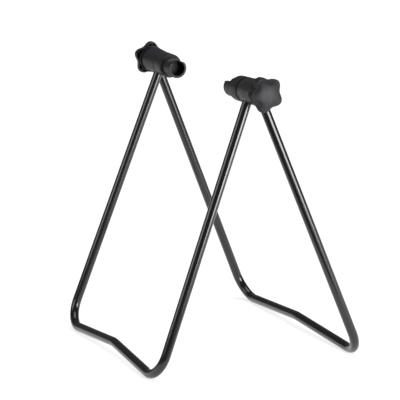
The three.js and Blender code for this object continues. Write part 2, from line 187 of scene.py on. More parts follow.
Colour = tuple[float, float, float]
Corner = tuple[float, float, float]
Point = tuple[float, float, float]
Band = tuple[float, float]
Profile = list[tuple[float, float]]
Reach = Callable[[float, float], float]
Outputs = Mapping[str, NodeSocket]


class Side(Enum):
    """The two ends of the hinge axis, by the sign of X."""

    LEFT = -1
    RIGHT = 1

    @property
    def label(self) -> str:
        """The word that the side's pieces start with."""
        return self.name.lower()


class Slot(Enum):
    """The record's material slots."""

    PAINT = "black_paint"
    PLASTIC = "dark_plastic"
    NYLON = "white_nylon"
    ZINC = "zinc_steel"


# ---------------------------------------------------------------- node trees


class NodeSheet:
    """A node tree that is filled with short calls."""

    def __init__(self, tree: NodeTree) -> None:
        """Take the tree to fill.

        Args:
            tree: a shader or geometry node tree.
        """
        self.tree = tree

    def add(self, kind: str, values: dict | None = None, **settings: object) -> Node:
        """Add a node.

        Args:
            kind: the node's type.
            values: numbers, colours or sockets for its inputs, by name or index.
            settings: the node's own options.

        Returns:
            The new node.
        """
        node = self.tree.nodes.new(kind)
        for option, choice in settings.items():
            setattr(node, option, choice)
        for key, value in (values or {}).items():
            if isinstance(value, NodeSocket):
                self.tree.links.new(value, node.inputs[key])
            else:
                node.inputs[key].default_value = value
        return node

    def out(self, kind: str, values: dict | None = None, **settings: object) -> NodeSocket:
        """Add a node, as add does, and give its first output."""
        return self.add(kind, values, **settings).outputs[0]

    def math(self, operation: str, *values: object) -> NodeSocket:
        """The result of a Math node.

        Args:
            operation: the sum to do.
            values: its numbers or sockets, in order.
        """
        return self.out("ShaderNodeMath", dict(enumerate(values)), operation=operation)

    def vector(self, operation: str, *values: object) -> Node:
        """A Vector Math node.

        Args:
            operation: the sum to do.
            values: its vectors or sockets, in order.
        """
        return self.add("ShaderNodeVectorMath", dict(enumerate(values)), operation=operation)

    def scaled(self, vector: NodeSocket, factor: object) -> NodeSocket:
        """A vector times a number or a socket."""
        return self.out("ShaderNodeVectorMath", {0: vector, "Scale": factor}, operation="SCALE")

    def ranged(
        self, value: object, low: float, high: float, first: float = 0.0, last: float = 1.0
    ) -> NodeSocket:
        """A value carried from one range to another, held at the ends.

        Args:
            value: the socket to carry.
            low: where the range starts.
            high: where the range ends.
            first: the result at its start.
            last: the result at its end.
        """
        ends = {0: value, 1: low, 2: high, 3: first, 4: last}
        return self.out("ShaderNodeMapRange", ends, clamp=True)


class MaterialSheet(NodeSheet):
    """A material's nodes round its one surface shader."""

    mix_factor, mix_first, mix_second, mix_colour = 0, 6, 7, 2

    def __init__(self, name: str) -> None:
        """Make the material.

        Args:
            name: the material's name.
        """
        self.material = bpy.data.materials.new(name)
        self.material.use_nodes = True
        super().__init__(self.material.node_tree)
        self.surface = self.tree.nodes["Principled BSDF"]
        self.place = self.add("ShaderNodeTexCoord").outputs["Object"]

    def set(self, **values: object) -> None:
        """Set the surface's inputs.

        Args:
            values: numbers, colours or sockets by the inputs' names, with spaces as underscores.
        """
        for name, value in values.items():
            socket = self.surface.inputs[name.replace("_", " ")]
            if isinstance(value, NodeSocket):
                self.tree.links.new(value, socket)
            else:
                socket.default_value = value

    def noise(self, cells: float, detail: float = 2.0, stretch: Sequence[float] | None = None) -> NodeSocket:
        """Noise over the piece.

        Args:
            cells: how many it has for each metre.
            detail: how many finer layers it has.
            stretch: its scale along X, Y and Z, where they differ.
        """
        place = self.place
        if stretch is not None:
            place = self.vector("MULTIPLY", place, tuple(stretch)).outputs[0]
        return self.out("ShaderNodeTexNoise", {"Vector": place, "Scale": cells, "Detail": detail})

    def blend(self, factor: NodeSocket, first: object, second: Colour) -> NodeSocket:
        """A colour between two others.

        Args:
            factor: how much of the second.
            first: the first colour, or its socket.
            second: the second colour.
        """
        start = first if isinstance(first, NodeSocket) else (*first, 1.0)
        values = {self.mix_factor: factor, self.mix_first: start, self.mix_second: (*second, 1.0)}
        return self.add("ShaderNodeMix", values, data_type="RGBA").outputs[self.mix_colour]

    def relief(self, height: NodeSocket, depth: float, below: NodeSocket | None = None) -> NodeSocket:
        """Bump from a height.

        Args:
            height: the height's socket, from 0 to 1.
            depth: the real depth that it stands for.
            below: another bump's normal, to lay this one on.

        Returns:
            The normal.
        """
        bump = self.add("ShaderNodeBump", {"Height": height, "Distance": depth, "Strength": 1.0})
        if below is not None:
            self.tree.links.new(below, bump.inputs["Normal"])
        return bump.outputs[0]


# ---------------------------------------------------------------- finishes


@dataclass(frozen=True)
class GlossPaint:
    """Gloss black powder paint on steel tube, with fine orange peel and scuffs where it stands."""

    dark: Colour = (0.0035, 0.0035, 0.0038)
    light: Colour = (0.0060, 0.0060, 0.0064)
    scuffed: Colour = (0.030, 0.029, 0.028)
    gloss: float = 0.16
    dull: float = 0.24
    scuff_rough: float = 0.35
    specular: float = 0.50
    coat: float = 0.4
    coat_rough: float = 0.10
    scuff_height: float = 3.2 * MM
    full_scuff: float = 0.2
    tone_cells: float = 24
    smear_cells: float = 55
    smear_band: Band = (0.35, 0.70)
    scratch_cells: float = 420
    scratch_stretch: Point = (0.25, 1.0, 1.0)
    scratch_band: Band = (0.50, 0.62)
    peel_cells: float = 420
    peel_depth: float = 0.010 * MM

    def build(self) -> Material:
        """Make the material."""
        sheet = MaterialSheet(Slot.PAINT.value)
        height = sheet.add("ShaderNodeSeparateXYZ", {0: sheet.place}).outputs["Z"]
        low = sheet.ranged(height, self.full_scuff * self.scuff_height, self.scuff_height, 1.0, 0.0)
        lines = sheet.noise(self.scratch_cells, FINE, self.scratch_stretch)
        scratches = sheet.ranged(lines, *self.scratch_band)
        scuff = sheet.math("MULTIPLY", low, scratches)
        tone = sheet.blend(sheet.noise(self.tone_cells, MIDDLING), self.dark, self.light)
        smears = sheet.ranged(sheet.noise(self.smear_cells, FINE), *self.smear_band, self.gloss, self.dull)
        rough = sheet.math("ADD", smears, sheet.math("MULTIPLY", scuff, self.scuff_rough))
        peel = sheet.relief(sheet.noise(self.peel_cells, 1.0), self.peel_depth)
        sheet.set(Base_Color=sheet.blend(scuff, tone, self.scuffed), Roughness=rough, Normal=peel)
        sheet.set(Specular_IOR_Level=self.specular, Coat_Weight=self.coat)
        sheet.set(Coat_Roughness=self.coat_rough, Coat_Normal=peel)
        return sheet.material


@dataclass(frozen=True)
class MouldedPlastic:
    """Dark grey glass-filled nylon with the grain of its mould, and painted shade in the cup's socket: darker
    colour and less gloss there.
    """

    dark: Colour = (0.0225, 0.0225, 0.0250)
    light: Colour = (0.0310, 0.0310, 0.0344)
    # painted shade: the darker colour laid inside the cup's socket, where shade falls
    greased: Colour = (0.0075, 0.0075, 0.0080)
    smooth: float = 0.40
    rough: float = 0.50
    specular: float = 0.24
    # painted shade: the dimmed specular level inside the cup's socket
    greased_specular: float = 0.6 * 0.24
    tone_cells: float = 70
    sheen_cells: float = 110
    band: Band = (0.3, 0.7)
    grain_cells: float = 1900
    grain_depth: float = 0.035 * MM
    flow_cells: float = 160
    flow_depth: float = 0.03 * MM

    def build(self) -> Material:
        """Make the material."""
        sheet = MaterialSheet(Slot.PLASTIC.value)
        share = sheet.ranged(sheet.noise(self.tone_cells, FINE), *self.band)
        tone = sheet.blend(share, self.dark, self.light)
        sheen = sheet.ranged(sheet.noise(self.sheen_cells, MIDDLING), *self.band, self.smooth, self.rough)
        grain = sheet.relief(sheet.noise(self.grain_cells), self.grain_depth)
        flow = sheet.relief(sheet.noise(self.flow_cells), self.flow_depth, grain)
        # painted shade: the socket's mask darkens the colour and dims the specular
        grease = sheet.add("ShaderNodeAttribute", attribute_name=PAINTED_SHADE).outputs["Fac"]
        shine = sheet.ranged(grease, 0.0, 1.0, self.specular, self.greased_specular)
        sheet.set(Base_Color=sheet.blend(grease, tone, self.greased), Roughness=sheen)
        sheet.set(Normal=flow, Specular_IOR_Level=shine)
        return sheet.material


@dataclass(frozen=True)
class PlainNylon:
    """Off-white nylon of the plain washers, a little translucent and greasy."""

    pale: Colour = (0.66, 0.64, 0.57)
    stained: Colour = (0.48, 0.45, 0.38)
    dry: float = 0.45
    greasy: float = 0.30
    stain_cells: float = 240
    stain_band: Band = (0.45, 0.75)
    grain_cells: float = 900
    grain_depth: float = 0.02 * MM
    glow: float = 0.1
    glow_depth: float = 1.5 * MM

    def build(self) -> Material:
        """Make the material."""
        sheet = MaterialSheet(Slot.NYLON.value)
        stain = sheet.ranged(sheet.noise(self.stain_cells, FINE), *self.stain_band)
        sheet.set(Base_Color=sheet.blend(stain, self.pale, self.stained))
        sheet.set(Roughness=sheet.ranged(stain, 0.0, 1.0, self.dry, self.greasy))
        sheet.set(Normal=sheet.relief(sheet.noise(self.grain_cells), self.grain_depth))
        sheet.set(Subsurface_Weight=self.glow, Subsurface_Scale=self.glow_depth)
        return sheet.material


@dataclass(frozen=True)
class ZincPlate:
    """Zinc plated steel of screws, nuts and clips, spangled and turned."""

    bright: Colour = (0.60, 0.61, 0.63)
    dull: Colour = (0.42, 0.43, 0.45)
    smooth: float = 0.28
    rough: float = 0.42
    spangles: float = 700.0
    spangle_band: Band = (0.1, 0.8)
    turned_cells: float = 1500
    turned_stretch: Point = (4.0, 1.0, 1.0)
    turned_band: Band = (0.3, 0.7)
    turned_depth: float = 0.008 * MM

    def build(self) -> Material:
        """Make the material."""
        sheet = MaterialSheet(Slot.ZINC.value)
        cells = sheet.add("ShaderNodeTexVoronoi", {"Vector": sheet.place, "Scale": self.spangles})
        tone = sheet.ranged(cells.outputs["Distance"], *self.spangle_band)
        turned = sheet.noise(self.turned_cells, 1.0, self.turned_stretch)
        sheet.set(Base_Color=sheet.blend(tone, self.bright, self.dull), Metallic=1.0)
        sheet.set(Roughness=sheet.ranged(turned, *self.turned_band, self.smooth, self.rough))
        sheet.set(Normal=sheet.relief(turned, self.turned_depth))
        return sheet.material


class Finishes:
    """The stand's four finishes, each made once."""

    def __init__(self) -> None:
        """Make all four materials."""
        makers = (GlossPaint(), MouldedPlastic(), PlainNylon(), ZincPlate())
        self.materials = {slot: maker.build() for slot, maker in zip(Slot, makers)}

    def of(self, slot: Slot) -> Material:
        """The material of a slot."""
        return self.materials[slot]


# ---------------------------------------------------------------- meshes


def rounded(corners: Sequence[Corner]) -> Profile:
    """A profile with its corners rounded.

    Args:
        corners: each a station along the axis, a radius from it, and the corner's own rounding.

    Returns:
        The points of the profile.
    """
    points: Profile = []
    count = len(corners)
    for index, (station, radius, fillet) in enumerate(corners):
        here = Vector((station, radius))
        if fillet <= 0:
            points.append((station, radius))
            continue
        back = (Vector(corners[index - 1][:2]) - here).normalized()
        ahead = (Vector(corners[(index + 1) % count][:2]) - here).normalized()
        half = back.angle(ahead) / 2
        centre = here + (back + ahead).normalized() * (fillet / math.sin(half))
        start = here + back * (fillet / math.tan(half)) - centre
        finish = here + ahead * (fillet / math.tan(half)) - centre
        for step in range(FILLET_STEPS + 1):
            arm = start.lerp(finish, step / FILLET_STEPS).normalized() * fillet
            points.append((centre.x + arm.x, centre.y + arm.y))
    return points


def revolved(profile: Profile, sides: int = ROUND_SIDES, reach: Reach | None = None) -> Mesh:
    """A closed surface of a profile turned about X.

    Args:
        profile: points that end on the axis or close on themselves.
        sides: how many steps go round.
        reach: gives the radius drawn for a profile's radius and an angle, where the piece isn't round.

    Returns:
        The mesh.
    """
    shell = bmesh.new()
    rings = []
    for station, radius in profile:
        if radius <= 0:
            rings.append([shell.verts.new((station, 0.0, 0.0))])
            continue
        ring = []
        for step in range(sides):
            angle = 2 * math.pi * step / sides
            drawn = reach(radius, angle) if reach else radius
            ring.append(shell.verts.new((station, drawn * math.sin(angle), drawn * math.cos(angle))))
        rings.append(ring)
    following = rings[1:] + (rings[:1] if profile[0][1] > 0 else [])
    for here, there in zip(rings, following):
        for step in range(sides):
            after = (step + 1) % sides
            corners = ((here, step), (here, after), (there, after), (there, step))
            face = list(dict.fromkeys(ring[place % len(ring)] for ring, place in corners))
            if len(face) > 2:
                shell.faces.new(face)
    return closed_mesh(shell)


def closed_mesh(shell: bmesh.types.BMesh) -> Mesh:
    """A mesh from a closed surface, with its faces pointing out.

    Args:
        shell: the surface, which is freed.
    """
    bmesh.ops.remove_doubles(shell, verts=shell.verts, dist=MERGE_DISTANCE)
    bmesh.ops.recalc_face_normals(shell, faces=shell.faces)
    mesh = bpy.data.meshes.new("part")
    shell.to_mesh(mesh)
    shell.free()
    return mesh


def rod(radius: float, start: float, end: float, sides: int = ROUND_SIDES) -> Mesh:
    """A plain round rod along X.

    Args:
        radius: its radius.
        start: the station of one end.
        end: the station of the other.
        sides: how many steps go round.
    """
    return revolved([(start, 0), (start, radius), (end, radius), (end, 0)], sides)


def washer(outer: float, inner: float, start: float, end: float, edge: float = WASHER_EDGE) -> Mesh:
    """A flat ring along X with broken edges.

    Args:
        outer: its radius.
        inner: its hole's radius.
        start: the station of one face.
        end: the station of the other.
        edge: the rounding of its outer edges.
    """
    return revolved(rounded([(start, inner, 0), (start, outer, edge), (end, outer, edge), (end, inner, 0)]))


def hexagon(flats: float, start: float, end: float, edge: float = 0.0) -> Mesh:
    """A hexagonal prism along X, with its corners turned off as on a nut.

    Args:
        flats: its width across the flats.
        start: the station of one face.
        end: the station of the other.
        edge: how far the corners are turned off, or 0.
    """
    radius = flats / math.sqrt(3)

    def prism(drawn: float, angle: float) -> float:
        """The prism's own reach at an angle, no further than the turned corner.

        Args:
            drawn: the turned corner's radius.
            angle: the angle round the prism.
        """
        sixth = math.pi / 3
        within = (angle + sixth / 2) % sixth - sixth / 2
        return min(drawn, flats / 2 / math.cos(within))

    face = radius - edge * CHAMFER_SLOPE
    points = [(start, face), (start + edge, radius), (end - edge, radius), (end, face)]
    if edge == 0:
        points = [(start, radius), (end, radius)]
    return revolved([(start, 0.0), *points, (end, 0.0)], ROUND_SIDES, prism)


def block(low: Vector, high: Vector) -> Mesh:
    """A box between two corners.

    Args:
        low: its lowest corner.
        high: its highest corner.
    """
    shell = bmesh.new()
    bmesh.ops.create_cube(shell, size=1.0)
    for vertex in shell.verts:
        vertex.co = Vector(a + (c + 0.5) * (b - a) for a, b, c in zip(low, high, vertex.co))
    return closed_mesh(shell)


def linked(made: Object) -> Object:
    """An object, put in the scene."""
    bpy.context.scene.collection.objects.link(made)
    return made


def temporary(mesh: Mesh) -> Object:
    """An object round a mesh, to cut or be cut."""
    return linked(bpy.data.objects.new("part", mesh))


def settled(made: Object) -> Mesh:
    """The mesh of an object with its modifiers worked out. The object goes.

    Args:
        made: the object.
    """
    evaluated = made.evaluated_get(bpy.context.evaluated_depsgraph_get())
    mesh = bpy.data.meshes.new_from_object(evaluated)
    bpy.data.objects.remove(made)
    return mesh


def joined(body: Mesh, others: Sequence[Mesh], operation: str = "DIFFERENCE", edge: float = 0.0) -> Mesh:
    """A mesh cut by, or joined to, others.

    Args:
        body: the mesh to work on.
        others: what cuts it or is added to it.
        operation: DIFFERENCE or UNION.
        edge: the rounding of the sharp edges afterwards.

    Returns:
        The worked mesh.
    """
    made = temporary(body)
    tools = [temporary(other) for other in others]
    for tool in tools:
        modifier = made.modifiers.new("work", "BOOLEAN")
        modifier.object = tool
        modifier.operation = operation
        modifier.solver = "EXACT"
    if edge > 0:
        weld = made.modifiers.new("weld", "WELD")
        weld.merge_threshold = WELD_DISTANCE
        bevel = made.modifiers.new("edge", "BEVEL")
        bevel.width = edge
        bevel.segments = 2
        bevel.limit_method = "ANGLE"
        bevel.angle_limit = BEVEL_ANGLE
        bevel.use_clamp_overlap = False
    mesh = settled(made)
    for tool in tools:
        bpy.data.objects.remove(tool)
    return mesh


def shade(mesh: Mesh) -> None:
    """Smooth shading, broken at sharp edges.

    Args:
        mesh: the mesh to shade.
    """
    shell = bmesh.new()
    shell.from_mesh(mesh)
    bmesh.ops.remove_doubles(shell, verts=shell.verts, dist=MERGE_DISTANCE)
    bmesh.ops.dissolve_degenerate(shell, edges=shell.edges, dist=MERGE_DISTANCE)
    for face in shell.faces:
        face.smooth = True
    for edge in shell.edges:
        edge.smooth = edge.is_manifold and edge.calc_face_angle(0.0) < SHARP_ANGLE
    shell.to_mesh(mesh)
    shell.free()


class PieceTree(NodeSheet):
    """Geometry nodes that turn a simple start into a finished mesh."""

    def __init__(self, name: str, material: Material, sizes: dict[str, str]) -> None:
        """Make the tree, with its named inputs.

        Args:
            name: the tree's name.
            material: the finish that it sets.
            sizes: the inputs' names, each with its kind of socket.
        """
        super().__init__(bpy.data.node_groups.new(name, "GeometryNodeTree"))
        self.socket(START, "INPUT", "Geometry")
        self.inputs = {size: self.socket(size, "INPUT", kind) for size, kind in sizes.items()}
        self.socket("Finished", "OUTPUT", "Geometry")
        shape = self.shape(self.add("NodeGroupInput").outputs)
        whole = self.out("GeometryNodeRealizeInstances", {0: shape})
        painted = self.add("GeometryNodeSetMaterial", {"Geometry": whole, "Material": material})
        self.add("NodeGroupOutput", {0: painted.outputs[0]})

    def socket(self, name: str, way: str, kind: str) -> str:
        """Add an input or output to the tree, and give its identifier."""
        made = self.tree.interface.new_socket(name=name, in_out=way, socket_type=f"NodeSocket{kind}")
        return made.identifier

    def shape(self, given: Outputs) -> NodeSocket:
        """The nodes from the tree's inputs to its shape, which each kind of tree has of its own."""
        raise NotImplementedError

    def run(self, start: Mesh, values: dict[str, object]) -> Mesh:
        """Put the tree on a mesh.

        Args:
            start: the mesh.
            values: the inputs' values, by name.

        Returns:
            The finished mesh.
        """
        made = temporary(start)
        modifier = made.modifiers.new(self.tree.name, "NODES")
        modifier.node_group = self.tree
        for name, value in values.items():
            modifier[self.inputs[name]] = value
        return settled(made)


# ---------------------------------------------------------------- the assembly's book-keeping


@dataclass
class Bench:
    """Where finished pieces are put together."""

    finishes: Finishes
    count: int = 0

    def place(self, name: str, mesh: Mesh, slot: Slot, body: str, *nodes: str) -> Object:
        """Put a finished piece in the stand.

        Args:
            name: the piece's name.
            mesh: its mesh, in the stand's frame.
            slot: its finish.
            body: the CAD body that it moves with.
            nodes: the CAD nodes that it stands for.

        Returns:
            The piece's object.
        """
        shade(mesh)
        mesh.materials.clear()
        mesh.materials.append(self.finishes.of(slot))
        mesh.name = name
        piece = linked(bpy.data.objects.new(name, mesh))
        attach(piece, body)
        if nodes:
            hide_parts(*nodes)
        self.count += 1
        LOG.info("%s: %d faces, %s, on %s", name, len(mesh.polygons), slot.value, body)
        return piece


# ---------------------------------------------------------------- tube frames


def joint(name: str) -> dict:
    """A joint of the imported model, by its name."""
    return next(made for made in frame["joints"] if made["name"] == name)


@dataclass
class TubeFrame:
    """One bent tube frame: two legs and a foot bar that rises to its middle."""

    name: str
    body: str
    top_width: float
    flare: float
    lean: float
    axis_height: float
    radius: float = TUBE_RADIUS
    wall: float = TUBE_WALL

    def placed(self, x: float, depth: float) -> Vector:
        """A point of the frame's plane in the stand.

        Args:
            x: along the hinge axis.
            depth: down the leg from the hinge axis.
        """
        return Vector((x, depth * math.sin(self.lean), self.axis_height - depth * math.cos(self.lean)))

    def leg(self, side: Side) -> tuple[Vector, Vector]:
        """A leg's point on the hinge axis and its direction down.

        Args:
            side: which leg.
        """
        top = self.placed(side.value * self.top_width / 2, 0.0)
        foot = self.placed(side.value * (self.top_width + self.flare) / 2, LEG_LENGTH)
        return top, (foot - top).normalized()

    def leg_matrix(self, side: Side) -> Matrix:
        """A frame whose +X points up the leg from the hinge axis.

        Args:
            side: which leg.
        """
        top, down = self.leg(side)
        return Matrix.Translation(top) @ (-down).to_track_quat("X", "Z").to_matrix().to_4x4()

    def path(self) -> Mesh:
        """The centre line's corners, joined by straight runs."""
        half = (self.top_width + self.flare) / 2
        (left, left_down), (right, right_down) = self.leg(Side.LEFT), self.leg(Side.RIGHT)
        points = [
            left - left_down * LEG_END,
            self.placed(-half, LEG_LENGTH),
            self.placed(0.0, LEG_LENGTH - BAR_RISE),
            self.placed(half, LEG_LENGTH),
            right - right_down * LEG_END,
        ]
        line = bpy.data.meshes.new("path")
        line.from_pydata(points, [(i, i + 1) for i in range(len(points) - 1)], [])
        return line

    def build(self, bench: Bench, tree: "BentTubeTree", hubs: Sequence["Hub"]) -> None:
        """Make the frame's tube.

        Args:
            bench: takes the piece.
            tree: bends and drills the tube.
            hubs: the hubs whose screws cross the legs.
        """
        values = {
            "Tube Radius": self.radius,
            "Tube Wall": self.wall,
            "Corner Radius": CORNER_RADIUS,
            "Crest Radius": CREST_RADIUS,
            "Drill Radius": SCREW_RADIUS + SCREW_GAP,
            "Drill Length": CUT_LENGTH,
        }
        for hub in hubs:
            values[tree.drill(hub.side, "Start")] = tuple(hub.matrix @ Vector((-CUT_LENGTH / 2, 0, 0)))
            values[tree.drill(hub.side, "Direction")] = tuple(hub.outward)
        bench.place(self.name, tree.run(self.path(), values), Slot.PAINT, self.body, self.name)


class BentTubeTree(PieceTree):
    """Geometry nodes that bend a tube along a line's corners, bore it and drill its legs."""

    middle_corner = 2.0
    lengths = ("Tube Radius", "Tube Wall", "Corner Radius", "Crest Radius", "Drill Radius", "Drill Length")

    def __init__(self, material: Material) -> None:
        """Make the tree.

        Args:
            material: the tube's finish.
        """
        places = [self.drill(side, end) for side in Side for end in ("Start", "Direction")]
        kinds = dict.fromkeys(self.lengths, "Float") | dict.fromkeys(places, "Vector")
        super().__init__("bent_tube", material, kinds)

    def shape(self, given: Outputs) -> NodeSocket:
        """The tube, bored and drilled.

        Args:
            given: the tree's inputs.
        """
        line = self.out("GeometryNodeMeshToCurve", {"Mesh": given[START]})
        bore = self.math("SUBTRACT", given["Tube Radius"], given["Tube Wall"])
        outside = self.swept(self.bent(line, given), given["Tube Radius"])
        inside = self.swept(self.bent(self.longer(line), given), bore)
        solids = {"Mesh 1": outside, "Mesh 2": inside}
        cut = self.add("GeometryNodeMeshBoolean", solids, operation="DIFFERENCE", solver="EXACT")
        for side in Side:
            way = {end: given[self.drill(side, end)] for end in ("Start", "Direction")}
            way["Length"] = given["Drill Length"]
            run = self.out("GeometryNodeCurvePrimitiveLine", way, mode="DIRECTION")
            self.tree.links.new(self.swept(run, given["Drill Radius"]), cut.inputs["Mesh 2"])
        return cut.outputs[0]

    def drill(self, side: Side, end: str) -> str:
        """The name of a drill's input, such as Left Drill Start."""
        return f"{side.name.title()} Drill {end}"

    def bent(self, line: NodeSocket, given: Outputs) -> NodeSocket:
        """The line with its corners bent round, the middle one on the crest's own radius.

        Args:
            line: the line.
            given: the tree's inputs.
        """
        off_middle = self.math("SUBTRACT", self.add("GeometryNodeInputIndex").outputs[0], self.middle_corner)
        ends = {"A": off_middle, "B": 0.0}
        middle = self.out("FunctionNodeCompare", ends, operation="EQUAL", data_type="FLOAT")
        radii = {"Switch": middle, "False": given["Corner Radius"], "True": given["Crest Radius"]}
        radius = self.out("GeometryNodeSwitch", radii, input_type="FLOAT")
        bend = {"Curve": line, "Count": BEND_STEPS, "Radius": radius}
        return self.out("GeometryNodeFilletCurve", bend, mode="POLY")

    def longer(self, line: NodeSocket) -> NodeSocket:
        """The line run out past both ends, so that the bore opens them.

        Args:
            line: the line.
        """
        tangent = self.out("GeometryNodeInputTangent")
        for first, last, run in ((1, 0, -LEG_END), (0, 1, LEG_END)):
            ends = {"Start Size": first, "End Size": last}
            chosen = self.out("GeometryNodeCurveEndpointSelection", ends)
            move = {"Geometry": line, "Selection": chosen, "Offset": self.scaled(tangent, run)}
            line = self.out("GeometryNodeSetPosition", move)
        return line

    def swept(self, line: NodeSocket, radius: NodeSocket) -> NodeSocket:
        """A round rod along a line.

        Args:
            line: the line.
            radius: the rod's radius.
        """
        circle = {"Resolution": TUBE_SIDES, "Radius": radius}
        section = self.out("GeometryNodeCurvePrimitiveCircle", circle)
        sweep = {"Curve": line, "Profile Curve": section, "Fill Caps": True}
        return self.out("GeometryNodeCurveToMesh", sweep)


# ---------------------------------------------------------------- hubs


class At:
    """Stations along a hub, outwards from midway between its two legs."""

    tube = 6.35 * MM
    inner_leg = -LEG_SPACING / 2
    outer_leg = LEG_SPACING / 2
    barrel_front = inner_leg - tube - BARREL_NECK
    end_washer = outer_leg + tube + SWING_GAP
    end_wall = end_washer + END_WASHER_THICKNESS + FIT_GAP
    barrel_rear = end_wall + BARREL_END_WALL
    collar_rear = barrel_front - FIT_GAP
    collar_front = collar_rear - COLLAR_LENGTH
    cup_tip = collar_front - CUP_REACH
    cup_rear = collar_front + CUP_ENGAGED
    socket_floor = cup_tip + SOCKET_DEPTH
    thrust_washer = barrel_rear + FIT_GAP
    knob_rear = thrust_washer + THRUST_WASHER_THICKNESS + FIT_GAP
    clip = knob_rear + FIT_GAP
    screw_head = clip + CLIP_THICKNESS + FIT_GAP
    screw_tip = socket_floor + SOCKET_FLOOR + CUP_RETRACT + FIT_GAP


SCREW_HOLE = SCREW_RADIUS + FIT_GAP


@dataclass
class Hub:
    """One hub on the hinge axis: barrel, collar, cup, knob and what holds them together."""

    side: Side
    knob_turn: float
    centre: Vector
    outward: Vector
    matrix: Matrix = field(init=False)

    def __post_init__(self) -> None:
        """Work out the hub's own frame, whose +X points outwards."""
        x = self.outward.normalized()
        y = Vector((0, 0, 1)).cross(x).normalized()
        z = x.cross(y)
        self.matrix = Matrix.Translation(self.centre) @ Matrix((x, y, z)).transposed().to_4x4()

    @classmethod
    def from_joints(cls, side: Side) -> "Hub":
        """Read a hub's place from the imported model.

        Args:
            side: which hub.
        """
        turn = joint(f"{side.label}_knob_turn")
        return cls(side, KNOB_TURNS[side.label], Vector(turn["pos_m"]), Vector(turn["axis"]))

    def put(
        self, bench: Bench, part: str, mesh: Mesh, slot: Slot, body: str, replaces: bool = True
    ) -> None:
        """Carry a piece from the hub's frame to the stand's and place it.

        Args:
            bench: takes the piece.
            part: its name without the side.
            mesh: its mesh, in the hub's frame.
            slot: its finish.
            body: the body it moves with.
            replaces: whether it stands for the CAD node of its name.
        """
        mesh.transform(self.matrix)
        name = f"{self.side.label}_{part}"
        bench.place(name, mesh, slot, body, *([name] if replaces else []))

    def build(self, bench: Bench, frames: Sequence[TubeFrame], trees: "HubTrees") -> None:
        """Make every piece of the hub.

        Args:
            bench: takes the pieces.
            frames: the inner and the outer frame.
            trees: the geometry nodes for what repeats.
        """
        base, knob_body, cup_body = "inner_frame", f"{self.side.label}_knob", f"{self.side.label}_cup"
        self.put(bench, "barrel", self.barrel(frames), Slot.PLASTIC, base)
        self.put(bench, "collar", self.collar(), Slot.PLASTIC, base)
        self.put(bench, "cup", self.cup(), Slot.PLASTIC, cup_body)
        self.put(bench, "cup_nut", self.nut(), Slot.ZINC, cup_body)
        self.put(bench, "knob", self.knob(), Slot.PLASTIC, knob_body)
        self.put(bench, "knob_ribs", trees.ribs.build(self.knob_turn), Slot.PLASTIC, knob_body, False)
        self.put(bench, "screw", self.screw(trees.thread), Slot.ZINC, knob_body)
        rings = (
            ("knob_clip", CLIP_RADIUS, At.clip, CLIP_THICKNESS, Slot.ZINC, knob_body),
            ("thrust_washer", WASHER_RADIUS, At.thrust_washer, THRUST_WASHER_THICKNESS, Slot.ZINC, base),
            ("end_washer", WASHER_RADIUS, At.end_washer, END_WASHER_THICKNESS, Slot.NYLON, base),
        )
        for part, radius, start, thickness, slot, body in rings:
            self.put(bench, part, washer(radius, SCREW_HOLE, start, start + thickness), slot, body)
        self.put(bench, "spacer", self.spacer(), Slot.PLASTIC, base)
        for tube, part in zip(frames, ("inner_leg_plug", "outer_leg_plug")):
            self.plug(bench, tube, part)

    def local(self, mesh: Mesh) -> Mesh:
        """A mesh of the stand's frame, carried into the hub's."""
        mesh.transform(self.matrix.inverted())
        return mesh

    def leg_hole(self, tube: TubeFrame) -> Mesh:
        """The hole that the inner frame's leg takes through the barrel's underside.

        Args:
            tube: the inner frame.
        """
        hole = rod(At.tube + FIT_GAP, -CUT_LENGTH, 0, TUBE_SIDES)
        hole.transform(tube.leg_matrix(self.side))
        return self.local(hole)

    def leg_slot(self, tube: TubeFrame) -> Mesh:
        """The slot in which the outer frame's leg swings, from its open stop to folded.

        Args:
            tube: the outer frame.
        """
        half = At.tube + SWING_GAP
        x = self.side.value * tube.top_width / 2
        shell = bmesh.new()
        outline = []
        for lean, sign in ((OPEN_ANGLE, 1), (OPEN_ANGLE - FOLD_ANGLE, -1)):
            down = Vector((math.sin(lean), -math.cos(lean)))
            across = Vector((math.cos(lean), math.sin(lean))) * (sign * half)
            outline.append((across, across + down * CUT_LENGTH))
        (open_top, open_foot), (folded_top, folded_foot) = outline
        loop = [open_top, folded_top, folded_foot, open_foot]
        near, far = (
            [shell.verts.new((x + out, y, tube.axis_height + z)) for y, z in loop] for out in (-half, half)
        )
        shell.faces.new(near)
        shell.faces.new(far)
        for step in range(len(loop)):
            after = (step + 1) % len(loop)
            shell.faces.new((near[step], near[after], far[after], far[step]))
        return self.local(closed_mesh(shell))

    def barrel(self, frames: Sequence[TubeFrame]) -> Mesh:
        """The sleeve round both legs' tops, with a fine neck in front and a rim behind.

        Args:
            frames: the inner and the outer frame.
        """
        front, rear = At.barrel_front, At.barrel_rear
        neck, rim = front + BARREL_NECK, rear - BARREL_RIM_WIDTH
        groove = rim - BARREL_GROOVE_WIDTH
        body = revolved(rounded([
            (front, BARREL_BORE, 0),
            (front, BARREL_FRONT_RADIUS, CRISP),
            (neck, BARREL_FRONT_RADIUS, 0),
            (neck + BARREL_STEP, BARREL_FRONT_RADIUS + BARREL_STEP, KEEN),
            (groove, BARREL_REAR_RADIUS, FULL),
            (groove + BARREL_GROOVE_SLOPE, BARREL_GROOVE_RADIUS, EASED),
            (rim, BARREL_GROOVE_RADIUS, BROKEN),
            (rim, BARREL_RIM_RADIUS, BLUNT),
            (rear, BARREL_RIM_RADIUS, DULLED),
            (rear, SCREW_HOLE, 0),
            (At.end_wall, SCREW_HOLE, 0),
            (At.end_wall, BARREL_BORE, EASED),
        ]))
        return joined(body, [self.leg_hole(frames[0]), self.leg_slot(frames[1])], edge=SOFT_EDGE)

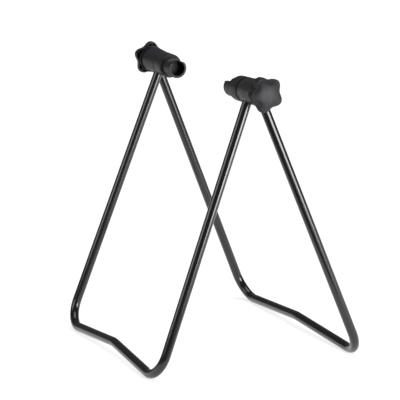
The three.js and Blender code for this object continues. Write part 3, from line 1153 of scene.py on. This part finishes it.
    def collar(self) -> Mesh:
        """The ring in whose bore the cup slides."""
        bore = CUP_RADIUS + FIT_GAP
        spigot = BARREL_BORE - FIT_GAP
        spigot_end = At.inner_leg - At.tube - SWING_GAP
        wall = At.cup_rear + CUP_RETRACT + FIT_GAP
        body = revolved(rounded([
            (At.collar_front, COLLAR_RADIUS, NOSE),
            (At.collar_rear, COLLAR_RADIUS, CRISP),
            (At.collar_rear, spigot, 0),
            (spigot_end, spigot, KEEN),
            (spigot_end, SCREW_HOLE, 0),
            (wall, SCREW_HOLE, 0),
            (wall, bore, 0),
            (At.collar_front, bore, CRISP),
        ]))
        half = KEY_WIDTH / 2 + FIT_GAP
        depth = CUP_RADIUS + KEY_HEIGHT + FIT_GAP
        front = At.cup_rear - KEY_LENGTH - CUP_EXTEND - FIT_GAP
        keyway = block(Vector((front, -half, -depth)), Vector((wall, half, -CUP_RADIUS / 2)))
        return joined(body, [keyway])

    def cup(self) -> Mesh:
        """The sliding cup: an open socket, a key below and the nut's pocket behind."""
        tip, rear, floor = At.cup_tip, At.cup_rear, At.socket_floor
        body = revolved(rounded([
            (floor, 0, 0),
            (floor, SOCKET_RADIUS, ROUND),
            (tip, SOCKET_RADIUS, EDGE),
            (tip, CUP_RADIUS, EDGE),
            (rear, CUP_RADIUS, BROKEN),
            (rear, 0, 0),
        ]))
        notch = block(
            Vector((tip - EDGE, -CUP_RADIUS - EDGE, NOTCH_HEIGHT)),
            Vector((tip + NOTCH_LENGTH, CUP_RADIUS + EDGE, CUP_RADIUS + EDGE)),
        )
        cut = joined(body, [notch], edge=SOFT_EDGE)
        half = KEY_WIDTH / 2
        key = block(
            Vector((rear - KEY_LENGTH, -half, -CUP_RADIUS - KEY_HEIGHT)),
            Vector((rear - BROKEN, half, -SOCKET_RADIUS)),
        )
        keyed = joined(cut, [key], "UNION")
        nut_front = rear - NUT_COVER - NUT_HEIGHT
        pocket = hexagon(NUT_FLATS + 2 * FIT_GAP, nut_front - FIT_GAP, rear + EDGE)
        mesh = joined(keyed, [pocket, rod(SCREW_HOLE, floor + SOCKET_FLOOR, rear)])
        # painted shade: points on the socket's inner wall and floor are marked for a darker colour that
        # stands in for the shade inside it
        grease = mesh.attributes.new(PAINTED_SHADE, "FLOAT", "POINT")
        for vertex, share in zip(mesh.vertices, grease.data):
            within = math.hypot(vertex.co.y, vertex.co.z) < SOCKET_RADIUS + PAINTED_SHADE_MARGIN
            share.value = float(within and vertex.co.x < floor + PAINTED_SHADE_LIP)
        return mesh

    def nut(self) -> Mesh:
        """The captive nut in the back of the cup."""
        end = At.cup_rear - NUT_COVER
        body = hexagon(NUT_FLATS, end - NUT_HEIGHT, end, EASED)
        return joined(body, [rod(SCREW_HOLE, end - 2 * NUT_HEIGHT, end + EDGE)])

    def spacer(self) -> Mesh:
        """The sleeve that holds the two legs apart."""
        start, end = At.inner_leg + At.tube + FIT_GAP, At.outer_leg - At.tube - SWING_GAP
        return washer(SPACER_RADIUS, SCREW_HOLE, start, end, EASED)

    def screw(self, thread: "ThreadTree") -> Mesh:
        """The long screw, its head in the knob and its thread in the cup's nut.

        Args:
            thread: cuts its thread.
        """
        head = hexagon(SCREW_HEAD_FLATS, At.screw_head, At.screw_head + SCREW_HEAD_HEIGHT, BROKEN)
        shank = thread.build(At.screw_tip, At.screw_head + SCREW_HEAD_OVERLAP)
        return joined(head, [shank], "UNION")

    def lobed(self, radius: float, angle: float) -> float:
        """A radius of the knob drawn in between its lobes, fading to nothing at the boss.

        Args:
            radius: the radius over a lobe.
            angle: the angle round the hub.
        """
        share = min(max((radius - KNOB_BOSS_RADIUS) / (KNOB_RADIUS - KNOB_BOSS_RADIUS), 0.0), 1.0)
        fade = share * share * (3 - 2 * share)
        hollow = (1 - math.cos(KNOB_LOBES * (angle - self.knob_turn))) / 2
        return radius - KNOB_SCALLOP * hollow * fade

    def knob(self) -> Mesh:
        """The star knob: a domed cap, hollow behind, with a boss for the screw's head."""
        rear = At.knob_rear
        skirt_end = rear + KNOB_SKIRT
        shoulder_end = skirt_end + KNOB_SHOULDER
        top = shoulder_end + KNOB_DOME
        face_radius = KNOB_RADIUS - KNOB_SHOULDER
        front = []
        for ring in range(DOME_RINGS + 1):
            front.append((top - KNOB_DOME * (ring / DOME_RINGS) ** 2, face_radius * ring / DOME_RINGS))
        for step in range(1, SHOULDER_STEPS + 1):
            angle = math.pi / 2 * step / SHOULDER_STEPS
            drop, reach = KNOB_SHOULDER * math.cos(angle), KNOB_SHOULDER * math.sin(angle)
            front.append((skirt_end + drop, face_radius + reach))
        hollow = KNOB_RADIUS - KNOB_WALL
        back = rounded([
            (skirt_end, KNOB_RADIUS, 0),
            (rear, KNOB_RADIUS, EDGE),
            (rear, hollow, BROKEN),
            (skirt_end, hollow, BLUNT),
            (skirt_end, KNOB_BOSS_RADIUS, BLUNT),
            (rear, KNOB_BOSS_RADIUS, BROKEN),
            (rear, 0, 0),
        ])[1:]
        cap = revolved(front + back, KNOB_SIDES, self.lobed)
        clip = rod(CLIP_RADIUS + FIT_GAP, rear - EDGE, At.screw_head - FIT_GAP)
        head_end = At.screw_head + SCREW_HEAD_HEIGHT + FIT_GAP
        head = hexagon(SCREW_HEAD_FLATS + 2 * FIT_GAP, rear - EDGE, head_end)
        return joined(cap, [clip, head])

    def plug(self, bench: Bench, tube: TubeFrame, part: str) -> None:
        """The plug in the top of a leg, drilled across for the screw.

        Args:
            bench: takes the piece.
            tube: the frame whose leg it closes.
            part: the plug's name without the side.
        """
        base = LEG_END + FIT_GAP
        stem = TUBE_RADIUS - TUBE_WALL - FIT_GAP
        tip = LEG_END - PLUG_LENGTH
        body = revolved(rounded([
            (base + PLUG_CAP, 0, 0),
            (base + PLUG_CAP, TUBE_RADIUS, EASED),
            (base, TUBE_RADIUS, HAIR),
            (base, stem, 0),
            (tip, stem, ROUND),
            (tip, 0, 0),
        ]))
        body.transform(tube.leg_matrix(self.side))
        drill = rod(SCREW_RADIUS + SCREW_GAP, -CUT_LENGTH / 2, CUT_LENGTH / 2)
        drill.transform(self.matrix)
        name = f"{self.side.label}_{part}"
        bench.place(name, joined(body, [drill]), Slot.PLASTIC, tube.body, name)


class RibTree(PieceTree):
    """Geometry nodes that set a knob's ribs round its boss, one behind each lobe."""

    def __init__(self, material: Material) -> None:
        """Make the tree in a finish."""
        super().__init__("knob_ribs", material, {"First Angle": "Float", "Lobes": "Int"})

    def shape(self, given: Outputs) -> NodeSocket:
        """The ribs, each turned to its lobe.

        Args:
            given: the tree's inputs.
        """
        points = self.out("GeometryNodePoints", {"Count": given["Lobes"]})
        index = self.out("GeometryNodeInputIndex")
        step = self.math("DIVIDE", 2 * math.pi, given["Lobes"])
        angle = self.math("ADD", self.math("MULTIPLY", index, step), given["First Angle"])
        turned = self.out("ShaderNodeCombineXYZ", {"X": self.math("MULTIPLY", angle, -1.0)})
        rotation = self.out("FunctionNodeEulerToRotation", {0: turned})
        ribs = {"Points": points, "Instance": given[START], "Rotation": rotation}
        return self.out("GeometryNodeInstanceOnPoints", ribs)

    def build(self, knob_turn: float) -> Mesh:
        """The ribs of one knob, in the hub's frame.

        Args:
            knob_turn: the angle of the first lobe, from +Z towards +Y.
        """
        half = KNOB_RIB_THICKNESS / 2
        low = Vector((At.knob_rear + EDGE, -half, KNOB_BOSS_RADIUS - KNOB_RIB_ROOT))
        high = Vector((At.knob_rear + KNOB_SKIRT + KNOB_RIB_ROOT, half, KNOB_RADIUS - KNOB_WALL / 2))
        return self.run(block(low, high), {"First Angle": knob_turn, "Lobes": KNOB_LOBES})


class ThreadTree(PieceTree):
    """Geometry nodes that cut a thread's one long ridge into a plain rod."""

    def __init__(self, material: Material) -> None:
        """Make the tree in a finish."""
        super().__init__("screw_thread", material, {"Pitch": "Float", "Depth": "Float"})

    def shape(self, given: Outputs) -> NodeSocket:
        """The rod with its surface sunk between the ridge's turns.

        Args:
            given: the tree's inputs.
        """
        place = self.out("GeometryNodeInputPosition")
        across = self.vector("MULTIPLY", place, (0.0, 1.0, 1.0)).outputs[0]
        parts = self.add("ShaderNodeSeparateXYZ", {0: place}).outputs
        angle = self.math("DIVIDE", self.math("ARCTAN2", parts["Y"], parts["Z"]), 2 * math.pi)
        phase = self.math("ADD", self.math("DIVIDE", parts["X"], given["Pitch"]), angle)
        ridge = self.math("PINGPONG", phase, 0.5)
        sunk = self.math("MULTIPLY", self.math("MULTIPLY", ridge, -2.0), given["Depth"])
        offset = self.scaled(self.vector("NORMALIZE", across).outputs[0], sunk)
        return self.out("GeometryNodeSetPosition", {"Geometry": given[START], "Offset": offset})

    def build(self, tip: float, end: float) -> Mesh:
        """A threaded rod along X.

        Args:
            tip: the station of its tip.
            end: the station of its other end.
        """
        start = tip + SCREW_POINT
        rows = int((end - tip) / SCREW_PITCH) * THREAD_ROWS
        profile = [(tip, 0.0), (tip, SCREW_RADIUS - SCREW_POINT), (start, SCREW_RADIUS)]
        profile += [(start + (end - start) * row / rows, SCREW_RADIUS) for row in range(1, rows + 1)]
        plain = revolved(profile + [(end, 0.0)], THREAD_SIDES)
        return self.run(plain, {"Pitch": SCREW_PITCH, "Depth": THREAD_DEPTH})


@dataclass
class HubTrees:
    """The geometry nodes that the hubs share."""

    ribs: RibTree
    thread: ThreadTree


# ---------------------------------------------------------------- studio


@dataclass(frozen=True)
class SoftBox:
    """A plain rectangular lamp, aimed at the stand."""

    name: str
    place: Point
    aim: Point
    width: float
    height: float
    radiance: float

    def build(self) -> None:
        """Make the lamp."""
        data = bpy.data.lights.new(self.name, "AREA")
        data.shape = "RECTANGLE"
        data.size, data.size_y = self.width, self.height
        data.energy = self.radiance * math.pi * self.width * self.height
        lamp = linked(bpy.data.objects.new(self.name, data))
        lamp.location = self.place
        lamp.rotation_euler = (Vector(self.aim) - Vector(self.place)).to_track_quat("-Z", "Y").to_euler()
        lamp.visible_camera = False


@dataclass(frozen=True)
class PhotoCamera:
    """The camera at the photograph's place and angle."""

    azimuth: float = math.radians(64.827)
    elevation: float = math.radians(12.546)
    roll: float = math.radians(-0.7125)
    distance: float = 2.7055
    target_height: float = 0.183915
    offset_right: float = 8.0562 * MM
    offset_up: float = -14.428 * MM
    sensor: float = 36.0
    lens: float = 177.69
    clip_start: float = 0.05
    clip_end: float = 50.0

    def level(self, ahead: float, right: float, height: float) -> Point:
        """A place from its way towards the camera, its way to the right, and its height."""
        x, y = math.sin(self.azimuth), -math.cos(self.azimuth)
        return x * ahead - y * right, y * ahead + x * right, height

    def build(self) -> None:
        """Make the camera."""
        flat, climb = math.cos(self.elevation), -math.sin(self.elevation)
        forward = Vector((-math.sin(self.azimuth) * flat, math.cos(self.azimuth) * flat, climb))
        level_right = Vector(self.level(0.0, 1.0, 0.0))
        level_up = level_right.cross(forward)
        right = level_right * math.cos(self.roll) + level_up * math.sin(self.roll)
        up = level_up * math.cos(self.roll) - level_right * math.sin(self.roll)
        data = bpy.data.cameras.new("camera")
        data.sensor_width, data.lens = self.sensor, self.lens
        data.clip_start, data.clip_end = self.clip_start, self.clip_end
        camera = linked(bpy.data.objects.new("camera", data))
        target = Vector((0, 0, self.target_height))
        place = target - forward * self.distance - right * self.offset_right - up * self.offset_up
        camera.matrix_world = Matrix.Translation(place) @ Matrix((right, up, -forward)).transposed().to_4x4()
        bpy.context.scene.camera = camera


@dataclass(frozen=True)
class Studio:
    """A white floor and backdrop, a grey card and soft lamps."""

    camera: PhotoCamera = PhotoCamera()
    floor_half: float = 12.0
    floor_grey: float = 0.65
    matt: float = 0.9
    fill_level: float = 0.14
    near_lift: float = 0.72
    near: float = 0.5
    far_lift: float = 0.95
    far: float = 2.2
    card_grey: float = 0.2
    card_height: float = 4 * MM
    card: Sequence[tuple[float, float]] = ((0.28, -0.6), (0.28, 0.27), (0.62, 0.30), (1.5, 0.75), (1.5, -0.6))
    lamps: tuple[SoftBox, ...] = (
        SoftBox("right_lamp", (1.25, 0.52, 0.22), (0.0, 0.0, 0.25), 0.80, 0.64, 11.2),
        SoftBox("left_lamp", (-0.10, -1.40, 0.70), (0.0, 0.0, 0.2), 1.0, 0.55, 2.6),
        SoftBox("top_lamp", (0.0, 0.2, 2.2), (0.0, 0.0, 0.2), 1.6, 1.6, 2.2),
    )

    def flat(self, name: str, corners: Sequence[Point], grey: float) -> tuple[Object, MaterialSheet]:
        """A flat matt surface.

        Args:
            name: its name.
            corners: its corners, in order.
            grey: its colour.

        Returns:
            Its object and the nodes of its material.
        """
        mesh = bpy.data.meshes.new(name)
        mesh.from_pydata(corners, [], [tuple(range(len(corners)))])
        sheet = MaterialSheet(name)
        sheet.set(Base_Color=(grey, grey, grey, 1.0), Roughness=self.matt)
        mesh.materials.append(sheet.material)
        return linked(bpy.data.objects.new(name, mesh)), sheet

    def floor(self) -> None:
        """The plain floor, which keeps the stand's shadow and is lifted to white where it is seen."""
        half = self.floor_half
        corners = [(-half, -half, 0), (half, -half, 0), (half, half, 0), (-half, half, 0)]
        ground, sheet = self.flat("floor", corners, self.floor_grey)
        path = sheet.add("ShaderNodeLightPath").outputs
        seen = sheet.math("MAXIMUM", path["Is Camera Ray"], path["Is Glossy Ray"])
        seen = sheet.math("MAXIMUM", seen, path["Is Transmission Ray"])
        away = sheet.vector("LENGTH", sheet.place).outputs["Value"]
        level = sheet.ranged(away, self.near, self.far, self.near_lift, self.far_lift)
        sheet.set(Specular_IOR_Level=0.0, Emission_Color=(1.0, 1.0, 1.0, 1.0))
        sheet.set(Emission_Strength=sheet.math("MULTIPLY", seen, level))

    def lay_card(self) -> None:
        """A grey card on the floor in front of the camera's view, seen only in reflections."""
        corners = [self.camera.level(ahead, right, self.card_height) for ahead, right in self.card]
        flag, _ = self.flat("card", corners, self.card_grey)
        flag.visible_camera = flag.visible_diffuse = flag.visible_shadow = flag.visible_transmission = False

    def world(self) -> None:
        """Soft, plain light from all round."""
        world = bpy.data.worlds.new("studio")
        world.use_nodes = True
        bpy.context.scene.world = world
        background = world.node_tree.nodes["Background"]
        background.inputs["Color"].default_value = (1.0, 1.0, 1.0, 1.0)
        background.inputs["Strength"].default_value = self.fill_level

    def build(self) -> None:
        """Make the whole studio."""
        bpy.context.scene.view_settings.view_transform = "Standard"
        self.floor()
        self.lay_card()
        self.world()
        for lamp in self.lamps:
            lamp.build()
        self.camera.build()


# ---------------------------------------------------------------- the stand


def main() -> None:
    """Build the stand and its studio."""
    logging.basicConfig(level=logging.INFO, format="%(name)s: %(message)s")
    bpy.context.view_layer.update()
    height = joint("frame_fold")["pos_m"][2]
    finishes = Finishes()
    bench = Bench(finishes)
    outer_top = INNER_TOP_WIDTH + 2 * LEG_SPACING
    frames = (
        TubeFrame("inner_frame_tube", "inner_frame", INNER_TOP_WIDTH, INNER_FLARE, -OPEN_ANGLE, height),
        TubeFrame("outer_frame_tube", "outer_frame", outer_top, OUTER_FLARE, OPEN_ANGLE, height),
    )
    hubs = [Hub.from_joints(side) for side in Side]
    tube_tree = BentTubeTree(finishes.of(Slot.PAINT))
    for tube in frames:
        tube.build(bench, tube_tree, hubs)
    trees = HubTrees(RibTree(finishes.of(Slot.PLASTIC)), ThreadTree(finishes.of(Slot.ZINC)))
    for hub in hubs:
        hub.build(bench, frames, trees)
    Studio().build()
    LOG.info("%d pieces", bench.count)


if __name__ == "__main__":
    main()
